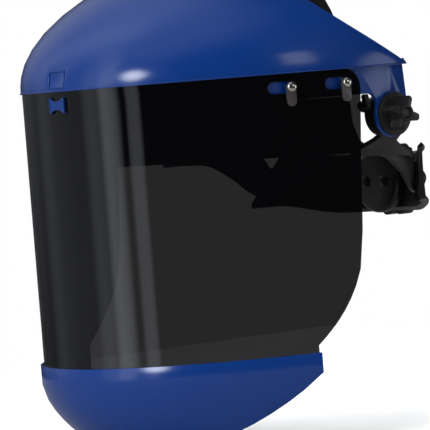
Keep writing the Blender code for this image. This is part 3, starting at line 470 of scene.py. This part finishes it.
# edge: width of the rounded edge in metres, keep: angle in degrees from which an edge stays sharp
fineSurface = {
    "crown": {"finish": bluePlastic, "edge": 0.0006, "keep": 32.0},
    "chin_guard": {"finish": bluePlastic, "edge": 0.0004, "keep": 34.0},
    "window": {"finish": smokeSheet, "edge": 0.0, "keep": 34.0},
    "headband": {"finish": headgearPlastic, "edge": 0.0005, "keep": 34.0},
    "side_arm": {"finish": headgearPlastic, "edge": 0.0004, "keep": 34.0},
    "overhead_strap": {"finish": headgearPlastic, "edge": 0.0005, "keep": 34.0},
    "strap_peg": {"finish": headgearPlastic, "edge": 0.0, "keep": 40.0},
    "rear_cradle": {"finish": headgearPlastic, "edge": 0.0005, "keep": 34.0},
    "ratchet_cover": {"finish": headgearPlastic, "edge": 0.0, "keep": 40.0},
    "cover_screw": {"finish": headgearPlastic, "edge": 0.0, "keep": 40.0},
    "ratchet_dial": {"finish": knobPlastic, "edge": 0.0008, "keep": 40.0},
    "ratchet_pinion": {"finish": pinionPlastic, "edge": 0.0, "keep": 40.0},
    "tension_knob": {"finish": knobPlastic, "edge": 0.0006, "keep": 38.0},
    "toggle": {"finish": togglePlastic, "edge": 0.0, "keep": 50.0},
    "rivet": {"finish": polishedNickel, "edge": 0.0, "keep": 50.0},
    "pivot_bolt": {"finish": platedSteel, "edge": 0.0, "keep": 40.0},
    "pivot_washer": {"finish": washerFibre, "edge": 0.0002, "keep": 40.0},
}
bodyOf = {node: body for body, members in frame["record"]["behaviour"]["bodies"].items() for node in members}


roundedFrom = math.radians(50.0)  # edges sharper than this are rounded


def makeFine(name, look):
    # the node's own shape with its triangles merged, its edges rounded and its faces shaded smooth
    words = name.split("_")
    piece = copyNode(name, words[0] + "".join(word.title() for word in words[1:]) + "Fine")
    bpy.ops.mesh.customdata_custom_splitnormals_clear()
    bpy.ops.object.mode_set(mode="OBJECT")
    if look["edge"]:
        edge = piece.modifiers.new("Edge", "BEVEL")
        edge.width = look["edge"]
        edge.segments = 2
        edge.limit_method = "ANGLE"
        edge.angle_limit = roundedFrom
    applyAll(piece)
    bpy.ops.object.shade_smooth_by_angle(angle=math.radians(look["keep"]))
    dress(piece, look["finish"])
    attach(piece, bodyOf[name])
    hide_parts(name)
    letGo()
    return piece


finePieces = {}
for name in sorted(nodes):
    chosen = [look for start, look in fineSurface.items() if name.startswith(start)]
    if chosen:
        finePieces[name] = makeFine(name, chosen[0])
    else:
        dress(nodes[name], sweatband)
print("stage: fine surfaces made,", len(finePieces))


# the brow pad is swelled as cloth
browPad = {
    "merge": 0.00002, "voxel": 0.0028, "shrink": 0.0007, "pressure": 4.0, "quality": 5, "frames": 20,
    "cap": 0.0016, "smoothing": 3, "fill": 0.6}


def makeBrowPad(look):
    pad = bpy.data.objects.new("browPadCloth", nodes["brow_pad"].data.copy())
    bpy.context.scene.collection.objects.link(pad)
    takeUp(pad)
    bpy.ops.object.mode_set(mode="EDIT")
    bpy.ops.mesh.select_all(action="SELECT")
    bpy.ops.mesh.remove_doubles(threshold=look["merge"])
    bpy.ops.object.mode_set(mode="OBJECT")
    pad.data.remesh_voxel_size = look["voxel"]
    bpy.ops.object.voxel_remesh()
    for point, normal in [(point, point.normal.copy()) for point in pad.data.vertices]:
        point.co -= normal * look["shrink"]
    before = [point.co.copy() for point in pad.data.vertices]
    cloth = pad.modifiers.new("Cloth", "CLOTH")
    cloth.settings.use_pressure = True
    cloth.settings.uniform_pressure_force = look["pressure"]
    cloth.settings.effector_weights.gravity = 0.0
    cloth.settings.quality = look["quality"]
    for step in range(1, look["frames"] + 1):
        bpy.context.scene.frame_set(step)
    seen = pad.evaluated_get(bpy.context.evaluated_depsgraph_get())
    swollen = [point.co.copy() for point in seen.data.vertices]
    pad.modifiers.remove(cloth)
    bpy.context.scene.frame_set(1)
    middle = sum((after - start for start, after in zip(before, swollen)), Vector()) / len(before)
    for point, start, after in zip(pad.data.vertices, before, swollen):
        move = after - start - middle
        if move.length > look["cap"]:
            move = move.normalized() * look["cap"]
        point.co = start + move
    smooth = pad.modifiers.new("Smooth", "SMOOTH")
    smooth.iterations = look["smoothing"]
    fine = pad.modifiers.new("Fine", "SUBSURF")
    fine.levels = 1
    fine.render_levels = 1
    applyAll(pad)
    pad.data.shade_smooth()
    dress(pad, sweatband)
    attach(pad, "headgear")
    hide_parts("brow_pad")
    return pad


makeBrowPad(browPad)
letGo()
print("stage: brow pad made")


# tension knobs: a hub collar round the bolt
knobHub = {"radius": 0.0046, "height": 0.0012, "lip": 0.0013, "sink": 0.0008, "edge": 0.0003, "proud": 0.0002,
           "corners": 32}


def makeKnobHub(side, sign, look):
    low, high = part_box("tension_knob_" + side)
    face = max(abs(low[0]), abs(high[0]))
    bpy.ops.mesh.primitive_cylinder_add(vertices=look["corners"], radius=look["radius"], depth=look["height"])
    hub = bpy.context.active_object
    hub.name = "knobHub_" + side
    takeUp(hub)
    pickFaces(hub, lambda middle, normal: normal.z > topFacing)
    bpy.ops.mesh.inset(thickness=look["lip"])
    bpy.ops.mesh.extrude_region_move(TRANSFORM_OT_translate={"value": (0.0, 0.0, -look["sink"])})
    bpy.ops.object.mode_set(mode="OBJECT")
    edge = hub.modifiers.new("Edge", "BEVEL")
    edge.width = look["edge"]
    edge.segments = 3
    applyAll(hub)
    settle(hub, standOn(Vector((sign * (face + look["proud"]), 0.0, 0.0)), Vector((sign, 0.0, 0.0))))
    soften(hub)
    hub.data.materials.append(knobPlastic)
    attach(hub, "knob_" + side)


for side, sign in sides:
    makeKnobHub(side, sign, knobHub)
print("stage: knob hubs made")


# size dial: a dished face with a raised ring
dialFace = {
    "radius": 0.0172, "height": 0.0010, "ring": 0.0030, "sink": 0.0007, "boss": 0.0058, "edge": 0.0004,
    "proud": 0.0003, "corners": 56}


def makeDialFace(look):
    low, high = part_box("ratchet_dial")
    bpy.ops.mesh.primitive_cylinder_add(vertices=look["corners"], radius=look["radius"], depth=look["height"])
    face = bpy.context.active_object
    face.name = "dialFace"
    takeUp(face)
    pickFaces(face, lambda middle, normal: normal.z > topFacing)
    bpy.ops.mesh.inset(thickness=look["ring"])
    bpy.ops.mesh.extrude_region_move(TRANSFORM_OT_translate={"value": (0.0, 0.0, -look["sink"])})
    bpy.ops.mesh.inset(thickness=look["radius"] - look["ring"] - look["boss"])
    bpy.ops.mesh.extrude_region_move(TRANSFORM_OT_translate={"value": (0.0, 0.0, look["sink"])})
    bpy.ops.object.mode_set(mode="OBJECT")
    edge = face.modifiers.new("Edge", "BEVEL")
    edge.width = look["edge"]
    edge.segments = 3
    applyAll(face)
    middle = Vector((0.0, high[1] + look["proud"], (low[2] + high[2]) / 2))
    settle(face, standOn(middle, Vector((0.0, 1.0, 0.0))))
    soften(face)
    face.data.materials.append(knobPlastic)
    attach(face, "dial")


makeDialFace(dialFace)
print("stage: dial face made")


# crown: a fine raised lip round the recess above the hook
pocketLip = {"radius": 0.0005, "sharp": 60.0, "above": 0.0285, "reach": 0.012, "behind": 0.01, "shade": 50.0}


def makePocketLip(look):
    lip = copyNode("crown", "crownPocketCopy")
    bpy.ops.mesh.select_all(action="DESELECT")
    bpy.ops.mesh.select_mode(type="EDGE")
    bpy.ops.mesh.edges_select_sharp(sharpness=math.radians(look["sharp"]))
    bpy.ops.object.mode_set(mode="OBJECT")
    front = min(point.co.y for point in lip.data.vertices)
    for edge in lip.data.edges:
        ends = [lip.data.vertices[index].co for index in edge.vertices]
        inside = [abs(end.x) < look["reach"] and end.z > look["above"] for end in ends]
        ahead = [end.y < front + look["behind"] for end in ends]
        edge.select = edge.select and all(inside) and all(ahead)
    bpy.ops.object.mode_set(mode="EDIT")
    bpy.ops.mesh.separate(type="SELECTED")
    bpy.ops.object.mode_set(mode="OBJECT")
    made = [each for each in bpy.context.selected_objects if each is not lip]
    bpy.data.objects.remove(lip, do_unlink=True)
    rim = made[0]
    rim.name = "crownPocketLip"
    takeUp(rim)
    bpy.ops.object.mode_set(mode="EDIT")
    bpy.ops.mesh.select_all(action="SELECT")
    bpy.ops.mesh.delete(type="ONLY_FACE")
    bpy.ops.object.mode_set(mode="OBJECT")
    bpy.ops.object.convert(target="CURVE")
    rim.data.bevel_depth = look["radius"]
    rim.data.bevel_resolution = 3
    rim.data.use_fill_caps = True
    bpy.ops.object.convert(target="MESH")
    soften(rim, look["shade"])
    dress(rim, bluePlastic)
    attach(rim, "shield")


makePocketLip(pocketLip)
print("stage: pocket lip made")


# overhead straps: a row of raised eyelets
strapEyelet = {
    "radius": 0.0026, "height": 0.0009, "lip": 0.0008, "sink": 0.0007, "edge": 0.0002, "corners": 20,
    "from": 0.2}  # height from which each eyelet drops on to the strap
eyeletSpots = {"left": (0.030, 0.042, 0.054, 0.065), "right": (-0.042, -0.054, -0.065)}


def makeEyelets(side, look):
    made = []
    strap = finePieces["overhead_strap_" + side]
    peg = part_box("strap_peg")
    middleY = (peg[0][1] + peg[1][1]) / 2
    for x in eyeletSpots[side]:
        place, normal = onSurface(strap, (x, middleY, look["from"]), (0.0, 0.0, -1.0))
        bpy.ops.mesh.primitive_cylinder_add(vertices=look["corners"], radius=look["radius"], depth=look["height"])
        eyelet = bpy.context.active_object
        takeUp(eyelet)
        pickFaces(eyelet, lambda middle, up: up.z > topFacing)
        bpy.ops.mesh.inset(thickness=look["lip"])
        bpy.ops.mesh.extrude_region_move(TRANSFORM_OT_translate={"value": (0.0, 0.0, -look["sink"])})
        bpy.ops.object.mode_set(mode="OBJECT")
        edge = eyelet.modifiers.new("Edge", "BEVEL")
        edge.width = look["edge"]
        edge.segments = 2
        applyAll(eyelet)
        settle(eyelet, standOn(place, normal))
        made.append(eyelet)
    row = joinPieces(made, "strapEyelets_" + side)
    soften(row)
    dress(row, headgearPlastic)
    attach(row, "headgear")


for side in eyeletSpots:
    makeEyelets(side, strapEyelet)
print("stage: strap eyelets made")


view = {
    "aim": (-0.0235, -0.0252, 0.0270), "azimuth": 49.231, "distance": 2.2, "yaw": -0.036, "pitch": 2.044,
    "roll": -4.647, "lens": 315.93, "sensor": 36.0, "clipEnd": 30.0}


def makeCamera(look):
    azimuth = math.radians(look["azimuth"])
    back = Vector((math.sin(azimuth), -math.cos(azimuth), 0.0))
    across = Vector((math.cos(azimuth), math.sin(azimuth), 0.0))
    place = Vector(look["aim"]) + back * look["distance"]
    yaw, pitch = math.radians(look["yaw"]), math.radians(look["pitch"])
    ahead = across * math.sin(yaw) - back * math.cos(yaw)
    ahead = ahead * math.cos(pitch) - Vector((0.0, 0.0, math.sin(pitch)))
    lens = bpy.data.cameras.new("viewLens")
    lens.lens = look["lens"]
    lens.sensor_width = look["sensor"]
    lens.clip_end = look["clipEnd"]
    camera = bpy.data.objects.new("viewCamera", lens)
    bpy.context.scene.collection.objects.link(camera)
    turn = ahead.to_track_quat("-Z", "Y").to_matrix().to_4x4()
    roll = Matrix.Rotation(math.radians(look["roll"]), 4, "Z")
    camera.matrix_world = Matrix.Translation(place) @ turn @ roll
    bpy.context.scene.camera = camera


makeCamera(view)

# mirrored: the floor's tone where the gloss reflects it
floorLook = {
    "size": 1.3, "middleY": -0.03, "below": 0.0006, "tone": (0.90, 0.90, 0.90), "mirrored": (0.13, 0.13, 0.13),
    "rough": 0.8}


def makeFloor(look):
    place = (0.0, look["middleY"], cadBox[0][2] - look["below"])
    bpy.ops.mesh.primitive_plane_add(size=look["size"], location=place)
    floor = bpy.context.active_object
    floor.name = "paleFloor"
    finish, tree, shader, _ = startFinish("floorPaper")
    path = tree.nodes.new("ShaderNodeLightPath")
    tone = tree.nodes.new("ShaderNodeMix")
    tone.data_type = "RGBA"
    tone.inputs[6].default_value = (*look["tone"], 1.0)
    tone.inputs[7].default_value = (*look["mirrored"], 1.0)
    tree.links.new(path.outputs["Is Glossy Ray"], tone.inputs[0])
    tree.links.new(tone.outputs[2], shader.inputs["Base Color"])
    shader.inputs["Roughness"].default_value = look["rough"]
    floor.data.materials.append(finish)
    letGo()


makeFloor(floorLook)

# softboxes that only light the piece, and one that its gloss also mirrors; all aim at this Y
aimY = -0.05
softboxes = {
    "front": {"angle": -80.0, "height": 0.7, "distance": 1.5, "size": (1.2, 1.4), "power": 34.0, "mirrored": False},
    "side": {"angle": 20.0, "height": 0.8, "distance": 1.3, "size": (1.0, 1.0), "power": 12.0, "mirrored": False},
    "top": {"angle": -100.0, "height": 1.7, "distance": 0.4, "size": (1.6, 1.6), "power": 26.0, "mirrored": False},
    "rear": {"angle": 110.0, "height": 0.7, "distance": 1.4, "size": (1.2, 1.0), "power": 16.0, "mirrored": False},
    "card": {"angle": 8.0, "height": 0.34, "distance": 1.0, "size": (0.26, 0.30), "power": 0.45, "mirrored": True},
}


def makeSoftbox(name, look):
    light = bpy.data.lights.new("softbox_" + name, "AREA")
    light.shape = "RECTANGLE"
    light.size, light.size_y = look["size"]
    light.energy = look["power"]
    lamp = bpy.data.objects.new("softbox_" + name, light)
    bpy.context.scene.collection.objects.link(lamp)
    lamp.visible_glossy = look["mirrored"]
    angle = math.radians(look["angle"])
    reach = look["distance"]
    place = Vector((reach * math.cos(angle), reach * math.sin(angle), look["height"]))
    aim = Vector((0.0, aimY, look["height"] if look["mirrored"] else 0.0)) - place
    lamp.matrix_world = Matrix.Translation(place) @ aim.to_track_quat("-Z", "Y").to_matrix().to_4x4()


for name, look in softboxes.items():
    makeSoftbox(name, look)

# soft glows in the room that the gloss mirrors: where they are, how wide, how bright
# a tall one hardly changes with height, which counts only this much for it
tallSquash = 0.15
roomLook = {"backdrop": 1.0, "fill": 0.03, "tint": (0.93, 0.97, 1.06)}
glows = (
    {"angle": -95.5, "rise": 0.0, "inner": 1.5, "outer": 9.5, "strength": 1.25, "tall": True},
    {"angle": -105.0, "rise": 0.0, "inner": 2.0, "outer": 15.0, "strength": 0.55, "tall": True},
    {"angle": -78.1, "rise": 0.0, "inner": 1.5, "outer": 6.0, "strength": 0.95, "tall": True},
    {"angle": -136.0, "rise": 0.0, "inner": 20.0, "outer": 40.0, "strength": 0.30, "tall": True},
    {"angle": -77.0, "rise": 15.0, "inner": 3.0, "outer": 10.0, "strength": 15.0, "tall": False},
    {"angle": 182.0, "rise": 42.0, "inner": 5.0, "outer": 52.0, "strength": 0.5, "tall": False},
    {"angle": -90.0, "rise": 72.0, "inner": 5.0, "outer": 48.0, "strength": 0.42, "tall": False},
    {"angle": 56.0, "rise": -1.0, "inner": 9.0, "outer": 17.0, "strength": 1.25, "tall": False},
)


def addGlow(tree, direction, before, look):
    angle, rise = math.radians(look["angle"]), math.radians(look["rise"])
    flat = tree.nodes.new("ShaderNodeVectorMath")
    flat.operation = "MULTIPLY"
    flat.inputs[1].default_value = (1.0, 1.0, tallSquash if look["tall"] else 1.0)
    even = tree.nodes.new("ShaderNodeVectorMath")
    even.operation = "NORMALIZE"
    towards = tree.nodes.new("ShaderNodeVectorMath")
    towards.operation = "DOT_PRODUCT"
    towards.inputs[1].default_value = (
        math.cos(rise) * math.cos(angle), math.cos(rise) * math.sin(angle), math.sin(rise))
    fade = tree.nodes.new("ShaderNodeMapRange")
    fade.interpolation_type = "SMOOTHSTEP"
    fade.inputs["From Min"].default_value = math.cos(math.radians(look["outer"]))
    fade.inputs["From Max"].default_value = math.cos(math.radians(look["inner"]))
    fade.inputs["To Max"].default_value = look["strength"]
    total = tree.nodes.new("ShaderNodeMath")
    total.operation = "ADD"
    tree.links.new(direction, flat.inputs[0])
    tree.links.new(flat.outputs["Vector"], even.inputs[0])
    tree.links.new(even.outputs["Vector"], towards.inputs[0])
    tree.links.new(towards.outputs["Value"], fade.inputs["Value"])
    tree.links.new(fade.outputs["Result"], total.inputs[0])
    tree.links.new(before, total.inputs[1])
    return total.outputs["Value"]


def makeRoom(look):
    # a white backdrop behind everything, and a dim room with soft glows for the gloss to mirror
    world = bpy.data.worlds.new("studioRoom")
    bpy.context.scene.world = world
    world.use_nodes = True
    tree = world.node_tree
    sky = tree.nodes["Background"]
    where = tree.nodes.new("ShaderNodeTexCoord")
    level = tree.nodes.new("ShaderNodeValue")
    level.outputs[0].default_value = look["fill"]
    strength = level.outputs[0]
    for glow in glows:
        strength = addGlow(tree, where.outputs["Generated"], strength, glow)
    dim = tree.nodes.new("ShaderNodeBackground")
    dim.inputs["Color"].default_value = (*look["tint"], 1.0)
    tree.links.new(strength, dim.inputs["Strength"])
    sky.inputs["Color"].default_value = (1.0, 1.0, 1.0, 1.0)
    sky.inputs["Strength"].default_value = look["backdrop"]
    path = tree.nodes.new("ShaderNodeLightPath")
    swap = tree.nodes.new("ShaderNodeMixShader")
    tree.links.new(path.outputs["Is Camera Ray"], swap.inputs[0])
    tree.links.new(dim.outputs["Background"], swap.inputs[1])
    tree.links.new(sky.outputs["Background"], swap.inputs[2])
    tree.links.new(swap.outputs["Shader"], tree.nodes["World Output"].inputs["Surface"])


makeRoom(roomLook)
bpy.context.scene.view_settings.view_transform = "Standard"
print("stage: camera, floor and lights placed")
